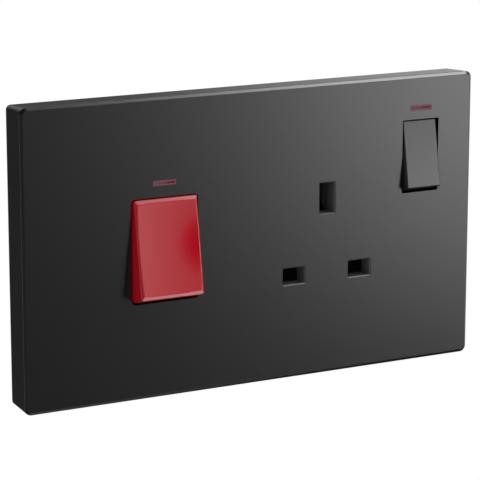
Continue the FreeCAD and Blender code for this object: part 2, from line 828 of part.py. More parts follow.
def base_rooms():
    """The pockets that the contacts, straps and terminals lie in."""
    front = y_deck_back - cut_past
    rooms = [link_room(line_route()), link_room(switched_route()), link_room(neutral_route())]
    for x in (line_x, neutral_x):
        rooms.append(contact_room(x, cooker_z, contact_tip_at + contact_tail))
        rooms.append(leg_room(x, -edge_stop, edge_stop, y_strap_back))
    rooms.append(contact_room(switch_x, switch_z, switch_contact_half))
    clip_half = pin_thick_gap / 2.0 + 2.0 * clip_leaf + running_gap
    for x in (socket_neutral_x, socket_line_x):
        rooms.append(block(x, live_z, clip_wide / 2.0 + running_gap, clip_half, front,
                           y_strap_back + seat_gap))
    rooms.append(block(socket_x, earth_z, clip_half, earth_clip_wide / 2.0 + running_gap, front,
                       y_earth_strap_back + seat_gap))
    rooms.append(leg_room(socket_x, -edge_stop, earth_z + earth_clip_wide / 2.0, y_earth_strap_back))
    for _, x, side, y0 in terminal_places():
        rooms.append(terminal_room(x, side, y0))
        rooms.append(screw_well(x, side, y0))
    return rooms


def core_wells():
    """The rear recesses that keep the base's walls even, between the cooker switch and the outlet."""
    top = base_half_z - core_wall
    floor = y_earth_strap_back + core_wall
    spans = ((neutral_x + terminal_wide / 2.0 + core_wall, socket_x - terminal_wide / 2.0 - core_wall),
             (socket_x + terminal_wide / 2.0 + core_wall, base_half_x - core_wall))
    wells = []
    for x0, x1 in spans:
        for low, high in ((core_wall / 2.0, top - core_screw), (-top + core_screw, -core_wall / 2.0)):
            wells.append(slab((x1 - x0) / 2.0, (high - low) / 2.0, core_wall / 2.0, floor,
                              base_deep + cut_past, (x0 + x1) / 2.0, (low + high) / 2.0))
    return wells


def base_moulding():
    """The deep insulating base that goes into the wall box, with a bay for the socket switch."""
    body = slab(base_half_x, base_half_z, base_corner, y_deck_back, base_deep - base_edge)
    rear = taper(base_half_x - base_edge, base_half_z - base_edge, base_corner - base_edge, base_deep,
                 base_edge, base_deep - base_edge)
    bay_low = switch_z - switch_contact_half - contact_tail - base_wall
    bay = box(base_half_x - base_corner - base_wall, switch_x + switch_bay_half, y_deck_back,
              y_strap_back + base_wall, bay_low, base_half_z)
    cuts = base_rooms() + core_wells()
    for x, z in assembly_places():
        cuts.append(rod_y(x, z, assembly_screw_r + running_gap, y_deck_back - cut_past, base_deep))
        cuts.append(rod_y(x, z, assembly_head_r + running_gap, assembly_head_y - assembly_head_high,
                          base_deep + cut_past))
    return join([body, rear, bay]).cut(cuts).removeSplitter()


def nodes():
    """Every piece of the unit by name, in its place at rest."""
    cooker = rocker(cooker_width, cooker_end_r, cooker_proud, cooker_tilt, cooker_side_draft, cooker_corner,
                    cooker_edge, cooker_brow_high, cooker_brow_deep, (-pole_offset, pole_offset))
    cooker = cooker.cut(thumb_dish())
    switch = rocker(switch_width, switch_end_r, switch_proud, switch_tilt, switch_side_draft, switch_corner,
                    switch_edge, switch_brow_high, switch_brow_deep, (0.0,))
    parts = {
        "front_plate": front_plate(),
        "carrier_frame": carrier_frame(),
        "base_moulding": base_moulding(),
        "assembly_screws": Part.makeCompound([assembly_screw(x, z) for x, z in assembly_places()]),
        "cooker_rocker": on_rocker(cooker, cooker_x, cooker_z, cooker_tilt),
        "socket_rocker": on_rocker(switch, switch_x, switch_z, switch_tilt),
        "socket_plunger": on_rocker(plunger(), switch_x, switch_z, switch_tilt),
        "socket_plunger_spring": on_rocker(plunger_spring(switch_proud), switch_x, switch_z, switch_tilt),
        "socket_moving_contact": contact_bar(switch_x, switch_z, switch_tip_at, switch_contact_tilt),
        "supply_line_strap": supply_line_strap(),
        "supply_neutral_strap": supply_neutral_strap(),
        "switched_line_strap": switched_line_strap(),
        "earth_strap": earth_strap(),
        "socket_earth_clip": earth_clip(),
        "shutter": shutter(),
        "shutter_spring": shutter_spring(),
    }
    screws = []
    for name, x, side, y0 in terminal_places():
        parts[name] = terminal_block(x, side, y0)
        screws.append(terminal_screw(x, side, y0))
    parts["terminal_screws"] = Part.makeCompound(screws)
    spring = plunger_spring(cooker_proud)
    for pole, x, shift, outlet_x in (("line", line_x, -pole_offset, socket_line_x),
                                     ("neutral", neutral_x, pole_offset, socket_neutral_x)):
        parts["cooker_%s_plunger" % pole] = on_rocker(plunger(), cooker_x, cooker_z, cooker_tilt, shift)
        parts["cooker_%s_plunger_spring" % pole] = on_rocker(spring, cooker_x, cooker_z, cooker_tilt, shift)
        parts["cooker_%s_moving_contact" % pole] = contact_bar(x, cooker_z, contact_tip_at, contact_tilt)
        parts["cooker_%s_strap" % pole] = load_strap(x)
        parts["socket_%s_clip" % pole] = socket_clip(outlet_x)
    for owner, x, z in (("cooker", cooker_x, cooker_lamp_z), ("socket", switch_x, switch_lamp_z)):
        parts["%s_indicator_lens" % owner] = lens(x, z)
        parts["%s_neon_lamp" % owner] = neon_lamp(x, z)
        parts["%s_lamp_resistor" % owner] = resistor(x, z)
    return parts


def main():
    os.makedirs("parts", exist_ok=True)
    for name, shape in nodes().items():
        shape.exportStep("parts/%s.step" % name)


main()
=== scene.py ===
import json
import math

import bpy
import numpy as np
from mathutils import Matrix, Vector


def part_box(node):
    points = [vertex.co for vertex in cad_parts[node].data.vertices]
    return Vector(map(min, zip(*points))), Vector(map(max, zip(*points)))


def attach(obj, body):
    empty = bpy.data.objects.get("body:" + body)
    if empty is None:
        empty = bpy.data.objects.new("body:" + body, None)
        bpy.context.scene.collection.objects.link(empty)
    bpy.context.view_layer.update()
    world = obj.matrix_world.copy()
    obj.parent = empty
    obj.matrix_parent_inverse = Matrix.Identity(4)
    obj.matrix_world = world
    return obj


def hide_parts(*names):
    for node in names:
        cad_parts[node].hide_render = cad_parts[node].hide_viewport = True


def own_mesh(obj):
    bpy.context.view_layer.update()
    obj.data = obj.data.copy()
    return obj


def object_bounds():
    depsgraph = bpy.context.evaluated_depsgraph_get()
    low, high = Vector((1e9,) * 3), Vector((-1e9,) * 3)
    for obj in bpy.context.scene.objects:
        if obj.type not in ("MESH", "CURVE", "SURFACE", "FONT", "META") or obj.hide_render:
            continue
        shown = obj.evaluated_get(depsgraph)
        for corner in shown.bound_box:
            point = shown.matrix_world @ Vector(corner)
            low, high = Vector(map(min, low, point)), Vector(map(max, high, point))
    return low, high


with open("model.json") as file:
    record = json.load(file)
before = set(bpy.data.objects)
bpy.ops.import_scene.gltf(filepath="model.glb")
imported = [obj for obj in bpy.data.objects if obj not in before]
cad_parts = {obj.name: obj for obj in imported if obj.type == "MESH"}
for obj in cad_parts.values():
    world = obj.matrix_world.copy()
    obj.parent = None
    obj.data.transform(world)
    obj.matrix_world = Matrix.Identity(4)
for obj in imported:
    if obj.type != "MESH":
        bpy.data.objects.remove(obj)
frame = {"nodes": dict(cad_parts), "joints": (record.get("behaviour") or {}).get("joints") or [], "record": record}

bl_info = {
    "name": "Cooker control unit",
    "version": (1, 0, 0),
    "blender": (4, 5, 0),
    "location": "View3D > Sidebar > Cooker unit",
    "description": "Finishes the packed cooker control unit and sets it on a pale studio stage",
    "category": "Object",
}

MM = 0.001
CAD_LOW, CAD_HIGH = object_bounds()
JOINTS = {joint["name"]: joint for joint in frame["joints"]}
APERTURES = np.array([opening["box_m"] for opening in frame["record"]["physics"]["openings"]
                      if opening["name"].endswith("_aperture")])

# How far behind a face a point may lie and still belong to it
FACE_SLACK = 0.1 * MM
# Edges that turn by more than this stay sharp
SHARP_ANGLE = math.radians(35.0)
# Rays that look for an edge to shade as rounded
BEVEL_SAMPLES = 8

# The rubbed patch of the red rocker: its place from the box's high x, low y and middle z, the distances
# between which it fades, and its roughness
RUBBED_PLACE = (-1.0 * MM, 1.5 * MM, 1.5 * MM)
RUBBED_FADE = (1.5 * MM, 11.5 * MM)
RUBBED_ROUGHNESS = 0.07

# Indicator lenses: rounding of the edges and corners, roughness of rim and pane, and the shares of the
# half width at which the pane's painted light ends and its painted shade starts
LENS_EASE = 0.08 * MM
LENS_CORNER = 0.15 * MM
LENS_CORNER_STEPS = 5
RIM_ROUGHNESS = 0.6
PANE_ROUGHNESS = 0.2
LENS_PAINTED_LIGHT_END = -0.15
LENS_PAINTED_SHADE_START = 0.35

# Threads: section, length, distance from the screw's tip, and steps in a turn
THREAD_SECTION = np.array([(-0.05, -0.25), (0.22, 0.0), (-0.05, 0.25)]) * MM
THREAD_LENGTH = 5.0 * MM
THREAD_START = 0.3 * MM
THREAD_STEPS = 24
# Width of the cells by which points are sorted into screws
SCREW_CELL = 20.0 * MM

# Springs: radius of the wire, points round it, and steps in a turn
WIRE_RADIUS = 0.26 * MM
WIRE_POINTS = 12
SPRING_STEPS = 28

# Lamp electrodes: start and length as shares of the lamp's length, radius, distance from the lamp's
# middle, how suddenly the ends narrow, the least share of the radius there, and steps and points
ELECTRODE_START = 0.3
ELECTRODE_SHARE = 0.62
ELECTRODE_RADIUS = 0.28 * MM
ELECTRODE_OFFSET = 0.5 * MM
ELECTRODE_POWER = 12
ELECTRODE_LEAST = 0.02
ELECTRODE_STEPS = 9
ELECTRODE_POINTS = 16
RESISTOR_BASE = "#c9a878"
RESISTOR_BANDS = ("#5b2c14", "#1a1a1a", "#c9a22a", "#b48a3c")

# Soft lights: width and height in metres, degrees right of and above straight ahead, distance in metres
LIGHTS = {
    "key light": ((0.37, 0.54), (39.0, -2.5), 1.5),
    "top light": ((0.3, 0.3), (55.0, 47.0), 1.5),
    "strip light": ((0.18, 0.42), (33.0, 4.0), 1.5),
    "left light": ((0.5, 0.5), (-94.0, -12.0), 1.0),
    "low light": ((0.08, 0.05), (32.6, -47.3), 0.336),
}
# Walls of the room in reflections: middle, closeness at which it starts and is full, strength
ROOM_WALLS = (
    ((0.85, 0.5, 0.15), 0.82, 0.94, 1.4),
    ((0.0, 0.5, 0.87), 0.6, 0.9, 1.0),
    ((-0.33, -0.91, -0.25), 0.82, 0.95, 0.4),
    ((0.97, -0.25, 0.0), 0.8, 0.95, 0.4),
)
# The rest of the room in reflections: its strength rises from front to back
ROOM_REST = {"From Min": -0.2, "From Max": 0.6, "To Min": 0.01, "To Max": 0.06}
# Floor: radius and distance below the unit in metres, rings, points in a ring, the first ring's share of
# the radius, glow in the middle, and the shares of the radius between which it turns white
FLOOR_RADIUS = 0.25
FLOOR_DROP = 0.6
FLOOR_RINGS = 24
FLOOR_POINTS = 96
FLOOR_FIRST = 0.02
FLOOR_GLOW = 0.45
FLOOR_FADE = (0.3, 0.9)
# Camera: width of the sensor in millimetres, and the nearest distance that it shows in metres
SENSOR_WIDTH = 36.0
CLIP_START = 0.01
WHITE = (1.0, 1.0, 1.0, 1.0)


# Colours and shader nodes

def linear(code):
    """An sRGB hex colour as linear RGBA."""
    values = [int(code[i:i + 2], 16) / 255.0 for i in (1, 3, 5)]
    return [v / 12.92 if v <= 0.04045 else ((v + 0.055) / 1.055) ** 2.4 for v in values] + [1.0]


def add(tree, kind, settings=None, links=None):
    """Adds one node, sets its sockets or attributes and links other nodes' outputs to its inputs."""
    made = tree.nodes.new(kind)
    for key, value in (settings or {}).items():
        if isinstance(key, int) or key in made.inputs:
            made.inputs[key].default_value = value
        else:
            setattr(made, key, value)
    for key, source in (links or {}).items():
        tree.links.new(source, made.inputs[key])
    return made


def new_material(name):
    """An empty node material and its node tree."""
    material = bpy.data.materials.new(name)
    material.use_nodes = True
    material.node_tree.nodes.clear()
    return material, material.node_tree


def grain_bump(tree, grain_mm, height_mm, strength, stretch=(1.0, 1.0, 1.0), edge_mm=0.0):
    """A fine surface grain as a bump normal: noise whose cells are grain_mm wide, height_mm tall.

    Where edge_mm is given, sharp edges are shaded as if they were rounded to that radius.
    """
    place = add(tree, "ShaderNodeTexCoord")
    turned = add(tree, "ShaderNodeMapping", {"Scale": stretch}, {"Vector": place.outputs["Object"]})
    noise = add(tree, "ShaderNodeTexNoise",
                {"Scale": 1.0 / (grain_mm * MM), "Detail": 2.0, "Roughness": 0.6},
                {"Vector": turned.outputs["Vector"]})
    links = {"Height": noise.outputs["Fac"]}
    if edge_mm:
        rounded = add(tree, "ShaderNodeBevel", {"samples": BEVEL_SAMPLES, "Radius": edge_mm * MM})
        links["Normal"] = rounded.outputs["Normal"]
    return add(tree, "ShaderNodeBump", {"Strength": strength, "Distance": height_mm * MM}, links)


def broad_change(tree, patch_mm, low, high):
    """A slow change from low to high over patches of patch_mm, for roughness."""
    place = add(tree, "ShaderNodeTexCoord")
    noise = add(tree, "ShaderNodeTexNoise", {"Scale": 1.0 / (patch_mm * MM), "Detail": 1.0},
                {"Vector": place.outputs["Object"]})
    return add(tree, "ShaderNodeMapRange", {"To Min": low, "To Max": high}, {"Value": noise.outputs["Fac"]})


def tone_change(tree, patch_mm, dark, light):
    """A slow change between two close tones of one colour over patches of patch_mm."""
    place = add(tree, "ShaderNodeTexCoord")
    noise = add(tree, "ShaderNodeTexNoise", {"Scale": 1.0 / (patch_mm * MM), "Detail": 3.0},
                {"Vector": place.outputs["Object"]})
    return add(tree, "ShaderNodeMix", {"data_type": "RGBA", 6: linear(dark), 7: linear(light)},
               {0: noise.outputs["Fac"]})


def painted_light_aperture_walls(tree, tone, walls):
    """A tone that turns paler on the walls of the pin apertures: painted light, paler than the moulding's own
    colour.

    A wall is what lies behind the plate's face, and no farther from the apertures' middle than the corners
    of the box round them.
    """
    low, high = APERTURES.min((0, 1)), APERTURES.max((0, 1))
    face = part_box("front_plate")[0][1] + FACE_SLACK
    place = add(tree, "ShaderNodeTexCoord")
    apart = add(tree, "ShaderNodeVectorMath", {"operation": "DISTANCE", 1: ((low + high) / 2.0).tolist()},
                {0: place.outputs["Object"]})
    near = add(tree, "ShaderNodeMath", {"operation": "LESS_THAN", 1: np.linalg.norm(high - low) / 2.0},
               {0: apart.outputs["Value"]})
    axes = add(tree, "ShaderNodeSeparateXYZ", links={"Vector": place.outputs["Object"]})
    behind = add(tree, "ShaderNodeMath", {"operation": "GREATER_THAN", 1: face}, {0: axes.outputs["Y"]})
    both = add(tree, "ShaderNodeMath", {"operation": "MULTIPLY"},
               {0: near.outputs["Value"], 1: behind.outputs["Value"]})
    return add(tree, "ShaderNodeMix", {"data_type": "RGBA", 7: linear(walls)},
               {0: both.outputs["Value"], 6: tone.outputs[2]})


def satin_polycarbonate(name, dark, light, walls=None):
    """Spark-eroded satin polycarbonate, through-dyed dark grey.

    The mould's fine grain spreads reflections into a broad soft sheen. The real grain is about 0.05 mm,
    and it is drawn at 0.3 mm so that it shows.
    """
    material, tree = new_material(name)
    tone = tone_change(tree, patch_mm=9.0, dark=dark, light=light)
    if walls:
        # Painted light: the aperture walls get a paler tone
        tone = painted_light_aperture_walls(tree, tone, walls)
    # Below 0.274 the denoiser takes the plastic for a mirror, and a faint line shows where that changes
    rough = broad_change(tree, patch_mm=25.0, low=0.2745, high=0.2865)
    bump = grain_bump(tree, grain_mm=0.3, height_mm=0.01, strength=0.25)
    shader = add(tree, "ShaderNodeBsdfPrincipled", {"IOR": 1.58},
                 {"Base Color": tone.outputs[2], "Roughness": rough.outputs["Result"],
                  "Normal": bump.outputs["Normal"]})
    add(tree, "ShaderNodeOutputMaterial", links={"Surface": shader.outputs["BSDF"]})
    return material


def red_polycarbonate(colours):
    """Polished-tool red polycarbonate: deep through-colour under a soft gloss with slight moulding waves.

    At the middle of its right edge fingers have rubbed it smoother, and the red shows deeper there.
    """
    material, tree = new_material("red polycarbonate")
    tone = tone_change(tree, patch_mm=8.0, dark=colours.red_dark, light=colours.red_light)
    rough = broad_change(tree, patch_mm=12.0, low=0.245, high=0.275)
    low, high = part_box("cooker_rocker")
    rubbed = np.array([high[0], low[1], (low[2] + high[2]) / 2.0]) + RUBBED_PLACE
    place = add(tree, "ShaderNodeTexCoord")
    apart = add(tree, "ShaderNodeVectorMath", {"operation": "DISTANCE", 1: rubbed.tolist()},
                {0: place.outputs["Object"]})
    away = add(tree, "ShaderNodeMapRange",
               {"interpolation_type": "SMOOTHSTEP", "From Min": RUBBED_FADE[0], "From Max": RUBBED_FADE[1]},
               {"Value": apart.outputs["Value"]})
    gloss = add(tree, "ShaderNodeMix", {2: RUBBED_ROUGHNESS},
                {0: away.outputs["Result"], 3: rough.outputs["Result"]})
    bump = grain_bump(tree, grain_mm=0.4, height_mm=0.004, strength=0.2, edge_mm=0.4)
    shader = add(tree, "ShaderNodeBsdfPrincipled", {"IOR": 1.55},
                 {"Base Color": tone.outputs[2], "Roughness": gloss.outputs[0],
                  "Normal": bump.outputs["Normal"]})
    add(tree, "ShaderNodeOutputMaterial", links={"Surface": shader.outputs["BSDF"]})
    return material


def dull_moulding(name, dark, light, roughness, grain_mm, walls=None, ior=1.52):
    """A plain matt moulding, such as urea or nylon: even colour, faint mottling and a fine dry grain."""
    material, tree = new_material(name)
    tone = tone_change(tree, patch_mm=6.0, dark=dark, light=light)
    if walls:
        # Painted light: the aperture walls get a paler tone
        tone = painted_light_aperture_walls(tree, tone, walls)
    bump = grain_bump(tree, grain_mm, height_mm=0.012, strength=0.3)
    shader = add(tree, "ShaderNodeBsdfPrincipled", {"Roughness": roughness, "IOR": ior},
                 {"Base Color": tone.outputs[2], "Normal": bump.outputs["Normal"]})
    add(tree, "ShaderNodeOutputMaterial", links={"Surface": shader.outputs["BSDF"]})
    return material


def worked_metal(name, dark, light, rough_low, rough_high, grain_mm, stretch):
    """Stamped, drawn or plated metal: patches of tarnish, and fine lines along the way it was worked."""
    material, tree = new_material(name)
    tone = tone_change(tree, patch_mm=3.0, dark=dark, light=light)
    rough = broad_change(tree, patch_mm=2.0, low=rough_low, high=rough_high)
    bump = grain_bump(tree, grain_mm, height_mm=0.006, strength=0.25, stretch=stretch)
    shader = add(tree, "ShaderNodeBsdfPrincipled", {"Metallic": 1.0},
                 {"Base Color": tone.outputs[2], "Roughness": rough.outputs["Result"],
                  "Normal": bump.outputs["Normal"]})
    add(tree, "ShaderNodeOutputMaterial", links={"Surface": shader.outputs["BSDF"]})
    return material


def lens_plastic(name, left, right, centre_x, half_x, roughness):
    """Red-tinted polycarbonate of an unlit indicator, with painted light and shade: one side paler, one darker."""
    material, tree = new_material(name)
    place = add(tree, "ShaderNodeTexCoord")
    axes = add(tree, "ShaderNodeSeparateXYZ", links={"Vector": place.outputs["Object"]})
    # Painted light on one side of the pane, painted shade on the other
    along = add(tree, "ShaderNodeMapRange",
                {"From Min": centre_x + LENS_PAINTED_LIGHT_END * half_x,
                 "From Max": centre_x + LENS_PAINTED_SHADE_START * half_x},
                {"Value": axes.outputs["X"]})
    tone = add(tree, "ShaderNodeMix", {"data_type": "RGBA", 6: linear(left), 7: linear(right)},
               {0: along.outputs["Result"]})
    bump = grain_bump(tree, grain_mm=0.25, height_mm=0.01, strength=0.3)
    shader = add(tree, "ShaderNodeBsdfPrincipled", {"Roughness": roughness, "IOR": 1.58},
                 {"Base Color": tone.outputs[2], "Normal": bump.outputs["Normal"]})
    add(tree, "ShaderNodeOutputMaterial", links={"Surface": shader.outputs["BSDF"]})
    return material


def lamp_glass():
    """Drawn soda glass of a small neon lamp: clear, with faint drawing lines."""
    material, tree = new_material("drawn soda glass")
    bump = grain_bump(tree, grain_mm=0.5, height_mm=0.006, strength=0.2, stretch=(0.1, 1.0, 1.0))
    shader = add(tree, "ShaderNodeBsdfPrincipled",
                 {"Base Color": linear("#f4f1ea"), "Roughness": 0.05, "IOR": 1.52,
                  "Transmission Weight": 0.9},
                 {"Normal": bump.outputs["Normal"]})
    add(tree, "ShaderNodeOutputMaterial", links={"Surface": shader.outputs["BSDF"]})
    return material


def resistor_lacquer(low_x, bands, spacing):
    """Tan lacquer of a carbon film resistor with painted colour bands along its body."""
    material, tree = new_material("resistor lacquer")
    place = add(tree, "ShaderNodeTexCoord")
    axes = add(tree, "ShaderNodeSeparateXYZ", links={"Vector": place.outputs["Object"]})
    colour = None
    for k, band in enumerate(bands):
        here = add(tree, "ShaderNodeMath",
                   {"operation": "COMPARE", 1: low_x + (k + 1.0) * spacing, 2: spacing / 4.0},
                   {0: axes.outputs["X"]})
        links = {0: here.outputs["Value"]}
        if colour:
            links[6] = colour.outputs[2]
        colour = add(tree, "ShaderNodeMix",
                     {"data_type": "RGBA", 6: linear(RESISTOR_BASE), 7: linear(band)}, links)
    bump = grain_bump(tree, grain_mm=0.4, height_mm=0.01, strength=0.3)
    shader = add(tree, "ShaderNodeBsdfPrincipled", {"Roughness": 0.3, "IOR": 1.5},
                 {"Base Color": colour.outputs[2], "Normal": bump.outputs["Normal"]})
    add(tree, "ShaderNodeOutputMaterial", links={"Surface": shader.outputs["BSDF"]})
    return material


def finish_node(name, material):
    """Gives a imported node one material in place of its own."""
    mesh = frame["nodes"][name].data
    mesh.materials.clear()
    mesh.materials.append(material)


# Surfaces worked out as arrays

def grid_faces(rows, columns, first=0):
    """Quads between neighbours in a grid numbered from first, with its last column joined to its first."""
    near = first + np.arange(rows - 1)[:, None] * columns
    far = near + columns
    here = np.arange(columns)
    after = (here + 1) % columns
    return np.stack([near + here, near + after, far + after, far + here], -1).reshape(-1, 4).tolist()


def tube_faces(rows, columns, first=0):
    """Quads round a tube of points numbered from first, then a cap on its start and one on its end."""
    last = first + (rows - 1) * columns
    caps = [list(range(first + columns - 1, first - 1, -1)), list(range(last, last + columns))]
    return grid_faces(rows, columns, first) + caps


def circle(count):
    """Points evenly round a circle of radius 1."""
    angle = np.linspace(0.0, 2.0 * np.pi, count, endpoint=False)
    return np.stack([np.cos(angle), np.sin(angle)], -1)


def make_piece(name, points, faces, materials, body, face_slots=None):
    """Puts points and faces into a smooth mesh object that rides on a body."""
    mesh = bpy.data.meshes.new(name)
    mesh.from_pydata(points.reshape(-1, 3).tolist(), [], faces)
    for material in materials:
        mesh.materials.append(material)
    if face_slots is not None:
        mesh.polygons.foreach_set("material_index", np.asarray(face_slots, np.int32))
    mesh.polygons.foreach_set("use_smooth", np.ones(len(mesh.polygons), bool))
    mesh.set_sharp_from_angle(angle=SHARP_ANGLE)
    mesh.update()
    piece = bpy.data.objects.new(name, mesh)
    bpy.context.scene.collection.objects.link(piece)
    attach(piece, body)
    return piece


def round_rectangle(half_x, half_z, corner, steps):
    """Points round a rectangle with round corners: four quarter circles of the corner's radius."""
    turn = np.linspace(0.0, np.pi / 2.0, steps)
    quarters = []
    for k, (sx, sz) in enumerate(((1, 1), (-1, 1), (-1, -1), (1, -1))):
        angle = turn + k * np.pi / 2.0
        x = sx * (half_x - corner) + corner * np.cos(angle)
        z = sz * (half_z - corner) + corner * np.sin(angle)
        quarters.append(np.stack([x, z], -1))
    return np.concatenate(quarters)


def swept(path, across, above, profile):
    """A profile carried along a path: its points are laid out along two directions at each path point."""
    return (path[:, None, :] + profile[None, :, :1] * across[:, None, :]
            + profile[None, :, 1:] * above[:, None, :])


def helix(centre, axis, side, radius, rise, turns, steps):
    """A helix and two directions square to it.

    The point at share t turns by turns x 360 degrees about the axis at the radius, and climbs by rise(t).
    The first direction points out from the axis, and the second is square to it and to the path.
    """
    t = np.linspace(0.0, 1.0, steps)
    other = np.cross(axis, side)
    angle = 2.0 * np.pi * turns * t
    out = np.cos(angle)[:, None] * side + np.sin(angle)[:, None] * other
    path = centre + radius * out + rise(t)[:, None] * axis
    along = np.gradient(path, axis=0)
    along /= np.linalg.norm(along, axis=1)[:, None]
    return path, out, np.cross(along, out)


def node_points(name):
    """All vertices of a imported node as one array."""
    mesh = frame["nodes"][name].data
    points = np.empty(len(mesh.vertices) * 3)
    mesh.vertices.foreach_get("co", points)
    return points.reshape(-1, 3)


def wound_spring(name, start, axis, length, outer_r, turns, material, body):
    """A compression spring of round wire with closed ends, along an axis square to X.

    The wire's circle is carried along a helix whose climb is slow in the first and last turn.
    """
    ends = 1.0 / turns
    thick = 2.0 * WIRE_RADIUS

    def rise(t):
        free = np.clip((t - ends) / (1.0 - 2.0 * ends), 0.0, 1.0)
        closed = np.clip(t / ends, 0.0, 1.0) + np.clip((t - 1.0 + ends) / ends, 0.0, 1.0)
        return WIRE_RADIUS + closed * thick + free * (length - 3.0 * thick)

    steps = int(SPRING_STEPS * turns)
    side = np.cross(axis, [1.0, 0.0, 0.0])
    path, out, up = helix(start, axis, side, outer_r - WIRE_RADIUS, rise, turns, steps)
    points = swept(path, out, up, WIRE_RADIUS * circle(WIRE_POINTS))
    return make_piece(name, points, tube_faces(steps, WIRE_POINTS), [material], body)


# Settings a user would change

class CookerUnitColours(bpy.types.PropertyGroup):
    """Colours of the mouldings, as sRGB hex values."""

    plate_dark: bpy.props.StringProperty(
        name="Plate, darker tone", description="Dark tone of the satin plate", default="#0f0f10")
    plate_light: bpy.props.StringProperty(
        name="Plate, lighter tone", description="Light tone of the satin plate", default="#121213")
    # Painted light on the plate's aperture walls: a paler tone than the plate's own
    painted_light_aperture_walls: bpy.props.StringProperty(
        name="Aperture walls", description="Walls of the pin apertures in the plate", default="#5c5c5d")
    # Painted light on the frame's pin guide walls: a paler tone than the black nylon's own
    painted_light_guide_walls: bpy.props.StringProperty(
        name="Guide walls", description="Walls of the pin guides in the frame behind the plate",
        default="#58585a")
    rocker_dark: bpy.props.StringProperty(
        name="Grey rocker, darker tone", description="Dark tone of the socket rocker", default="#1a1a1b")
    rocker_light: bpy.props.StringProperty(
        name="Grey rocker, lighter tone", description="Light tone of the socket rocker", default="#1e1e1f")
    red_dark: bpy.props.StringProperty(
        name="Red rocker, darker tone", description="Dark tone of the cooker rocker", default="#ae0b1c")
    red_light: bpy.props.StringProperty(
        name="Red rocker, lighter tone", description="Light tone of the cooker rocker", default="#b50d20")
    # Painted light and shade of the indicator pane: paler at one side, darker at the other
    lens_painted_light: bpy.props.StringProperty(
        name="Lens, left", description="Indicator pane on its paler side", default="#7a474e")
    lens_painted_shade: bpy.props.StringProperty(
        name="Lens, right", description="Indicator pane on its darker side", default="#6e2438")
    lens_rim: bpy.props.StringProperty(
        name="Lens rim", description="Paler rim round the indicator pane", default="#7a4c57")


class CookerUnitSizes(bpy.types.PropertyGroup):
    """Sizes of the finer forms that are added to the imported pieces."""

    lens_rim: bpy.props.FloatProperty(
        name="Lens rim", description="Width of the rim round an indicator pane", default=0.3 * MM,
        unit="LENGTH", precision=5)
    lens_dip: bpy.props.FloatProperty(
        name="Lens dip", description="How far the pane lies behind its rim", default=0.15 * MM,
        unit="LENGTH", precision=5)
    lens_lean: bpy.props.FloatProperty(
        name="Lens lean", description="How far the pane faces downwards", subtype="ANGLE",
        default=math.radians(8.0))
    spring_turns: bpy.props.FloatProperty(
        name="Spring turns", description="Turns of each coil spring", default=7.0)
    thread_pitch: bpy.props.FloatProperty(
        name="Thread pitch", description="Pitch of the assembly screws' threads", default=0.9 * MM,
        unit="LENGTH", precision=5)


class CookerUnitStage(bpy.types.PropertyGroup):
    """Camera and light of the studio stage."""

    camera_at: bpy.props.FloatVectorProperty(
        name="Camera place", description="Where the camera stands", subtype="TRANSLATION",
        default=(-320.31 * MM, -592.48 * MM, 147.03 * MM), precision=5)
    camera_yaw: bpy.props.FloatProperty(
        name="Camera yaw", description="Turn of the camera to the right of straight ahead", subtype="ANGLE",
        default=math.radians(28.421))
    camera_pitch: bpy.props.FloatProperty(
        name="Camera pitch", description="Tilt of the camera, negative below level", subtype="ANGLE",
        default=math.radians(-12.546))
    lens: bpy.props.FloatProperty(
        name="Lens", description="Focal length in millimetres on a 36 mm sensor", default=176.34)
    key_power: bpy.props.FloatProperty(
        name="Key light", description="Power of the soft light in front at the right", subtype="POWER",
        default=3.9)
    top_power: bpy.props.FloatProperty(
        name="Top light", description="Power of the soft light high at the right", subtype="POWER",
        default=5.7)
    strip_power: bpy.props.FloatProperty(
        name="Strip light", description="Power of the weak upright light beside the key light",
        subtype="POWER", default=0.5)
    left_power: bpy.props.FloatProperty(
        name="Left light", description="Power of the weak light at the left", subtype="POWER",
        default=1.6)
    low_power: bpy.props.FloatProperty(
        name="Low light", description="Power of the small light below in front", subtype="POWER",
        default=0.1)
    room_light: bpy.props.FloatProperty(
        name="Room light", description="Strength of the even light from all sides", default=0.6)


# Operators, one for each group of pieces

class COOKERUNIT_OT_mouldings(bpy.types.Operator):
    """Finish the plate, both rockers, the frame, the shutter, the base and the plungers"""

    bl_idname = "cookerunit.mouldings"
    bl_label = "Mouldings"

    def execute(self, context):
        colours = context.scene.cooker_unit_colours
        finish_node("front_plate", satin_polycarbonate("satin polycarbonate, plate", colours.plate_dark,
                                                       colours.plate_light, colours.painted_light_aperture_walls))
        finish_node("socket_rocker", satin_polycarbonate("satin polycarbonate, rocker", colours.rocker_dark,
                                                         colours.rocker_light))
        finish_node("cooker_rocker", red_polycarbonate(colours))
        # Black nylon: matt and slightly waxy, with painted light, a paler tone, on the walls of its pin guides
        finish_node("carrier_frame", dull_moulding("black nylon", "#161617", "#1a1a1b", roughness=0.55,
                                                   grain_mm=0.35, walls=colours.painted_light_guide_walls))
        # Glass-filled nylon: black as the real shutter is, drier than the plain kind because its loose fibres trap
        # the light, and painted darker than the frame's nylon as shade deep in the apertures
        finish_node("shutter", dull_moulding("glass filled nylon", "#0a0a0a", "#0d0d0d", roughness=0.9,
                                             grain_mm=0.35, ior=1.15))
        # White urea: hard and slightly creamy, with a low sheen
        finish_node("base_moulding", dull_moulding("white urea", "#dcdad3", "#e4e2dc", roughness=0.42,
                                                   grain_mm=0.5))
        # Natural acetal: milky white, smooth and slippery
        acetal = dull_moulding("natural acetal", "#e6e2d6", "#efece2", roughness=0.35, grain_mm=0.4)
        for name in ("socket_plunger", "cooker_line_plunger", "cooker_neutral_plunger"):
            finish_node(name, acetal)
        return {"FINISHED"}


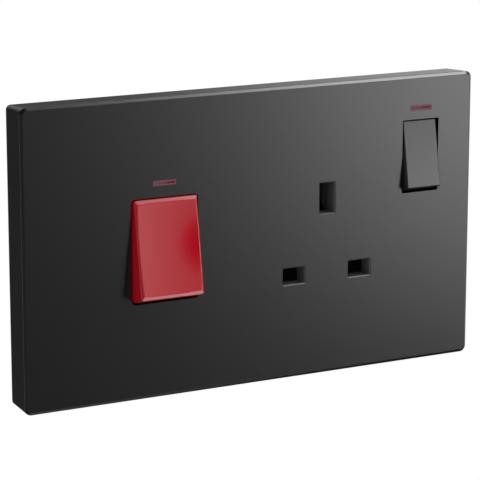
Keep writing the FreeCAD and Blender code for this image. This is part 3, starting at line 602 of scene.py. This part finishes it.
class COOKERUNIT_OT_lenses(bpy.types.Operator):
    """Make the two indicator lenses with a frosted rim round a smoother pane"""

    bl_idname = "cookerunit.lenses"
    bl_label = "Indicator lenses"

    def execute(self, context):
        colours = context.scene.cooker_unit_colours
        sizes = context.scene.cooker_unit_sizes
        for owner in ("cooker", "socket"):
            self.lens(owner + "_indicator_lens", colours, sizes)
        return {"FINISHED"}

    def lens(self, node, colours, sizes):
        """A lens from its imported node: rings of one rounded rectangle, inset and set back by a profile.

        The pane itself leans: it lies evenly deeper from its top to its foot.
        """
        low, high = (np.array(corner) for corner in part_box(node))
        points = node_points(node)
        front = points[points[:, 1] < low[1] + FACE_SLACK]
        half = (front.max(0) - front.min(0)) / 2.0
        middle = (front.max(0) + front.min(0)) / 2.0
        flange = (high[0] - low[0]) / 2.0 - half[0]
        step = np.unique(np.round(points[:, 1], 6))[1]
        profile = (
            (-flange, high[1]), (-flange, step), (0.0, step), (0.0, low[1] + LENS_EASE),
            (LENS_EASE, low[1]), (sizes.lens_rim, low[1]),
            (sizes.lens_rim + LENS_EASE, low[1] + sizes.lens_dip),
        )
        rings = []
        for inset, y in profile:
            ring = round_rectangle(half[0] - inset, half[2] - inset, LENS_CORNER, LENS_CORNER_STEPS)
            rings.append(np.insert(ring + middle[[0, 2]], 1, y, axis=1))
        rings[-1][:, 1] -= math.tan(sizes.lens_lean) * (rings[-1][:, 2] - middle[2])
        faces = tube_faces(len(rings), len(rings[0]))
        slots = [0] * (len(faces) - 1) + [1]
        rim = lens_plastic(node + " frosted rim", colours.lens_rim, colours.lens_rim, middle[0], half[0],
                           RIM_ROUGHNESS)
        # The pane's tone runs from painted light at one side to painted shade at the other
        pane = lens_plastic(node + " pane", colours.lens_painted_light, colours.lens_painted_shade, middle[0], half[0],
                            PANE_ROUGHNESS)
        piece = make_piece(node + "_moulded", np.array(rings), faces, [rim, pane], "unit",
                           slots)
        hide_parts(node)


class COOKERUNIT_OT_metalwork(bpy.types.Operator):
    """Finish the straps, contacts, terminals, clips and screws, and add the assembly screws' threads"""

    bl_idname = "cookerunit.metalwork"
    bl_label = "Metalwork"

    def execute(self, context):
        # Stamped copper: warm, with darker patches where it has tarnished
        copper = worked_metal("stamped copper", "#b26a48", "#d08a62", rough_low=0.25, rough_high=0.4,
                              grain_mm=0.3, stretch=(1.0, 1.0, 0.15))
        # Drawn brass: yellow, with fine lines along the drawing direction
        brass = worked_metal("drawn brass", "#b8934a", "#d4b266", rough_low=0.2, rough_high=0.35,
                             grain_mm=0.25, stretch=(1.0, 1.0, 0.1))
        # Zinc-plated steel: bright grey with a slight blue cast
        steel = worked_metal("zinc plated steel", "#a3a7ac", "#bfc3c7", rough_low=0.25, rough_high=0.38,
                             grain_mm=0.2, stretch=(1.0, 0.3, 1.0))
        for name in frame["nodes"]:
            if name.endswith("_strap") or name.endswith("_contact"):
                finish_node(name, copper)
            elif name.endswith("_terminal") or name.endswith("_clip"):
                finish_node(name, brass)
            elif name.endswith("_screws"):
                finish_node(name, steel)
        self.threads(context.scene.cooker_unit_sizes.thread_pitch, steel)
        return {"FINISHED"}

    def threads(self, pitch, steel):
        """One thread on each assembly screw: a triangle carried along a helix round the shank's tip."""
        points = node_points("assembly_screws")
        tip = points[:, 1].min()
        ends = points[points[:, 1] < tip + FACE_SLACK]
        cells, owner = np.unique(np.round(ends[:, [0, 2]] / SCREW_CELL).astype(int), axis=0,
                                 return_inverse=True)
        turns = THREAD_LENGTH / pitch
        steps = int(THREAD_STEPS * turns)
        corners = len(THREAD_SECTION)
        meshes = []
        faces = []
        for k in range(len(cells)):
            shank = ends[owner.ravel() == k]
            low, high = shank.min(0), shank.max(0)
            start = np.array([(low[0] + high[0]) / 2.0, tip + THREAD_START, (low[2] + high[2]) / 2.0])
            path, out, up = helix(start, np.array([0.0, 1.0, 0.0]), np.array([1.0, 0.0, 0.0]),
                                  (high[0] - low[0]) / 2.0, lambda t: t * THREAD_LENGTH, turns, steps)
            faces += tube_faces(steps, corners, len(meshes) * steps * corners)
            meshes.append(swept(path, out, up, THREAD_SECTION))
        make_piece("assembly_screw_threads", np.array(meshes), faces, [steel], "unit")


class COOKERUNIT_OT_springs(bpy.types.Operator):
    """Make the round-wire springs in the rockers and under the shutter"""

    bl_idname = "cookerunit.springs"
    bl_label = "Springs"

    def execute(self, context):
        turns = context.scene.cooker_unit_sizes.spring_turns
        # Music wire: dark bright steel with a thin oil film
        wire = worked_metal("music wire", "#6f7276", "#8f9296", rough_low=0.22, rough_high=0.34,
                            grain_mm=0.2, stretch=(1.0, 1.0, 1.0))
        for rocker in ("cooker", "socket"):
            self.plunger_springs(rocker, turns, wire)
        self.shutter_spring(turns, wire)
        return {"FINISHED"}

    def plunger_springs(self, rocker, turns, wire):
        """A spring in place of each packed one of a rocker, along the rocker's depth as it rests."""
        joint = JOINTS[rocker + "_rocker_tilt"]
        pivot = np.array(joint["pos_m"])
        rest = math.radians(joint["range_deg"][1] / 2.0)
        axis = np.array([0.0, math.cos(rest), -math.sin(rest)])
        for node in list(frame["nodes"]):
            if not (node.startswith(rocker) and node.endswith("plunger_spring")):
                continue
            points = node_points(node)
            along = (points - pivot) @ axis
            left, right = points[:, 0].min(), points[:, 0].max()
            start = np.array([(left + right) / 2.0, pivot[1], pivot[2]]) + along.min() * axis
            piece = wound_spring(node + "_wire", start, axis, along.max() - along.min(),
                                 (right - left) / 2.0, turns, wire, rocker + "_rocker")
            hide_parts(node)

    def shutter_spring(self, turns, wire):
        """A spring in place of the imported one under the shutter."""
        low, high = (np.array(corner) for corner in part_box("shutter_spring"))
        middle = (low + high) / 2.0
        start = np.array([middle[0], middle[1], low[2]])
        length = high[2] - low[2]
        piece = wound_spring("shutter_spring_wire", start, np.array([0.0, 0.0, 1.0]), length,
                             (high[0] - low[0]) / 2.0, turns, wire, "unit")
        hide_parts("shutter_spring")
        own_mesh(piece)


class COOKERUNIT_OT_lamps(bpy.types.Operator):
    """Finish the neon lamps and their resistors, and put the electrodes into the glass"""

    bl_idname = "cookerunit.lamps"
    bl_label = "Lamps"

    def execute(self, context):
        glass = lamp_glass()
        # Nickel iron: dull grey electrode wire
        nickel = worked_metal("nickel iron wire", "#77746e", "#8d8a84", rough_low=0.4, rough_high=0.5,
                              grain_mm=0.2, stretch=(0.2, 1.0, 1.0))
        for owner in ("cooker", "socket"):
            lamp = owner + "_neon_lamp"
            finish_node(lamp, glass)
            self.electrodes(lamp, nickel)
            body = owner + "_lamp_resistor"
            low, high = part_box(body)
            spacing = (high[0] - low[0]) / (len(RESISTOR_BANDS) + 1.0)
            finish_node(body, resistor_lacquer(low[0], RESISTOR_BANDS, spacing))
        return {"FINISHED"}

    def electrodes(self, lamp, material):
        """Two straight electrodes: a circle carried along the lamp's length, narrowed at each end."""
        low, high = (np.array(corner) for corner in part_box(lamp))
        middle = (low + high) / 2.0
        t = np.linspace(0.0, 1.0, ELECTRODE_STEPS)
        x = low[0] + (ELECTRODE_START + ELECTRODE_SHARE * t) * (high[0] - low[0])
        narrow = np.clip(1.0 - np.abs(2.0 * t - 1.0) ** ELECTRODE_POWER, ELECTRODE_LEAST, 1.0)
        radius = ELECTRODE_RADIUS * np.sqrt(narrow)[:, None]
        edge = circle(ELECTRODE_POINTS)
        tubes = []
        faces = []
        for side in (-1, 1):
            y = middle[1] + radius * edge[:, 0]
            z = middle[2] + side * ELECTRODE_OFFSET + radius * edge[:, 1]
            faces += tube_faces(ELECTRODE_STEPS, ELECTRODE_POINTS, len(tubes) * y.size)
            tubes.append(np.stack([np.broadcast_to(x[:, None], y.shape), y, z], -1))
        make_piece(lamp + "_electrodes", np.array(tubes), faces, [material], "unit")


class COOKERUNIT_OT_stage(bpy.types.Operator):
    """Set up the pale floor, the lights, the white room and the camera"""

    bl_idname = "cookerunit.stage"
    bl_label = "Stage"

    def execute(self, context):
        settings = context.scene.cooker_unit_stage
        context.scene.view_settings.view_transform = "Standard"
        self.room(settings)
        self.floor()
        powers = {"key light": settings.key_power, "top light": settings.top_power,
                  "strip light": settings.strip_power, "left light": settings.left_power,
                  "low light": settings.low_power}
        for name, (size, angles_deg, distance) in LIGHTS.items():
            self.light(name, powers[name], size, angles_deg, distance)
        self.camera(settings)
        return {"FINISHED"}

    def room(self, settings):
        """An even room: plain white to the eye, and in reflections dark, with white and dim walls.

        A wall's strength rises from nothing to full as the direction turns towards its middle.
        """
        world = bpy.data.worlds.new("white room")
        bpy.context.scene.world = world
        world.use_nodes = True
        tree = world.node_tree
        tree.nodes.clear()
        place = add(tree, "ShaderNodeTexCoord")
        axes = add(tree, "ShaderNodeSeparateXYZ", links={"Vector": place.outputs["Generated"]})
        rest = add(tree, "ShaderNodeMapRange", ROOM_REST, {"Value": axes.outputs["Y"]})
        glow = rest.outputs["Result"]
        for direction, start, full, strength in ROOM_WALLS:
            towards = add(tree, "ShaderNodeVectorMath", {"operation": "DOT_PRODUCT", 1: direction},
                          {0: place.outputs["Generated"]})
            wall = add(tree, "ShaderNodeMapRange",
                       {"From Min": start, "From Max": full, "To Max": strength},
                       {"Value": towards.outputs["Value"]})
            glow = add(tree, "ShaderNodeMath", {"operation": "MAXIMUM"},
                       {0: glow, 1: wall.outputs["Result"]}).outputs["Value"]
        path = add(tree, "ShaderNodeLightPath")
        mirrored = add(tree, "ShaderNodeMath", {"operation": "MAXIMUM"},
                       {0: path.outputs["Is Glossy Ray"], 1: path.outputs["Is Transmission Ray"]})
        even = add(tree, "ShaderNodeMix", {2: settings.room_light}, {0: mirrored.outputs["Value"], 3: glow})
        seen = add(tree, "ShaderNodeMix", {3: 1.0}, {0: path.outputs["Is Camera Ray"], 2: even.outputs[0]})
        shader = add(tree, "ShaderNodeBackground", {"Color": WHITE}, {"Strength": seen.outputs[0]})
        add(tree, "ShaderNodeOutputWorld", links={"Surface": shader.outputs["Background"]})

    def floor(self):
        """A pale round floor below the unit: rings of points, white at the rim so that it has no edge."""
        edge = circle(FLOOR_POINTS)
        ring = np.linspace(FLOOR_FIRST, 1.0, FLOOR_RINGS)[:, None] * FLOOR_RADIUS
        x = ring * edge[:, 0]
        y = ring * edge[:, 1]
        points = np.stack([x, y, np.full_like(x, CAD_LOW[2] - FLOOR_DROP)], -1).reshape(-1, 3)
        faces = grid_faces(FLOOR_RINGS, FLOOR_POINTS) + [list(range(FLOOR_POINTS))]
        mesh = bpy.data.meshes.new("floor")
        mesh.from_pydata(points.tolist(), [], faces)
        floor = bpy.data.objects.new("floor", mesh)
        bpy.context.scene.collection.objects.link(floor)
        material, tree = new_material("pale floor")
        place = add(tree, "ShaderNodeTexCoord")
        apart = add(tree, "ShaderNodeVectorMath", {"operation": "LENGTH"}, {0: place.outputs["Object"]})
        white = add(tree, "ShaderNodeMapRange",
                    {"From Min": FLOOR_FADE[0] * FLOOR_RADIUS, "From Max": FLOOR_FADE[1] * FLOOR_RADIUS},
                    {"Value": apart.outputs["Value"]})
        path = add(tree, "ShaderNodeLightPath")
        seen = add(tree, "ShaderNodeMapRange", {"To Min": FLOOR_GLOW}, {"Value": white.outputs["Result"]})
        shown = add(tree, "ShaderNodeMath", {"operation": "MULTIPLY"},
                    {0: seen.outputs["Result"], 1: path.outputs["Is Camera Ray"]})
        matt = add(tree, "ShaderNodeBsdfDiffuse", {"Color": linear("#cfcfcd")})
        glow = add(tree, "ShaderNodeEmission", {"Color": WHITE}, {"Strength": shown.outputs["Value"]})
        both = add(tree, "ShaderNodeAddShader",
                   links={0: matt.outputs["BSDF"], 1: glow.outputs["Emission"]})
        add(tree, "ShaderNodeOutputMaterial", links={"Surface": both.outputs["Shader"]})
        mesh.materials.append(material)

    def light(self, name, power, size, angles_deg, distance):
        """A soft light that faces the unit from a direction right of and above straight ahead."""
        right, up = (math.radians(angle) for angle in angles_deg)
        out = np.array([math.sin(right) * math.cos(up), -math.cos(right) * math.cos(up), math.sin(up)])
        data = bpy.data.lights.new(name, "AREA")
        data.energy = power
        data.shape = "RECTANGLE"
        data.size, data.size_y = size
        lamp = bpy.data.objects.new(name, data)
        lamp.location = (out * distance).tolist()
        lamp.rotation_euler = (math.pi / 2.0 - up, 0.0, right)
        lamp.visible_camera = False
        bpy.context.scene.collection.objects.link(lamp)

    def camera(self, settings):
        """The camera at the photograph's viewing angle."""
        data = bpy.data.cameras.new("camera")
        data.lens = settings.lens
        data.sensor_width = SENSOR_WIDTH
        data.clip_start = CLIP_START
        camera = bpy.data.objects.new("camera", data)
        camera.location = settings.camera_at
        camera.rotation_euler = (math.pi / 2.0 + settings.camera_pitch, 0.0, -settings.camera_yaw)
        bpy.context.scene.collection.objects.link(camera)
        bpy.context.scene.camera = camera


class COOKERUNIT_PT_panel(bpy.types.Panel):
    """Lists the steps that finish the unit"""

    bl_idname = "COOKERUNIT_PT_panel"
    bl_label = "Cooker control unit"
    bl_space_type = "VIEW_3D"
    bl_region_type = "UI"
    bl_category = "Cooker unit"

    def draw(self, context):
        for operator in OPERATORS:
            self.layout.operator(operator.bl_idname)
        for group in GROUPS:
            settings = getattr(context.scene, group)
            for name in settings.__annotations__:
                self.layout.prop(settings, name)


OPERATORS = (
    COOKERUNIT_OT_mouldings,
    COOKERUNIT_OT_lenses,
    COOKERUNIT_OT_metalwork,
    COOKERUNIT_OT_springs,
    COOKERUNIT_OT_lamps,
    COOKERUNIT_OT_stage,
)
GROUPS = {
    "cooker_unit_colours": CookerUnitColours,
    "cooker_unit_sizes": CookerUnitSizes,
    "cooker_unit_stage": CookerUnitStage,
}


def register():
    for made in (*GROUPS.values(), *OPERATORS, COOKERUNIT_PT_panel):
        bpy.utils.register_class(made)
    for name, group in GROUPS.items():
        setattr(bpy.types.Scene, name, bpy.props.PointerProperty(type=group))


def unregister():
    for name in GROUPS:
        delattr(bpy.types.Scene, name)
    for made in reversed((*GROUPS.values(), *OPERATORS, COOKERUNIT_PT_panel)):
        bpy.utils.unregister_class(made)


def main():
    register()
    bpy.ops.cookerunit.mouldings()
    bpy.ops.cookerunit.lenses()
    bpy.ops.cookerunit.metalwork()
    bpy.ops.cookerunit.springs()
    bpy.ops.cookerunit.lamps()
    bpy.ops.cookerunit.stage()


if __name__ == "__main__":
    main()
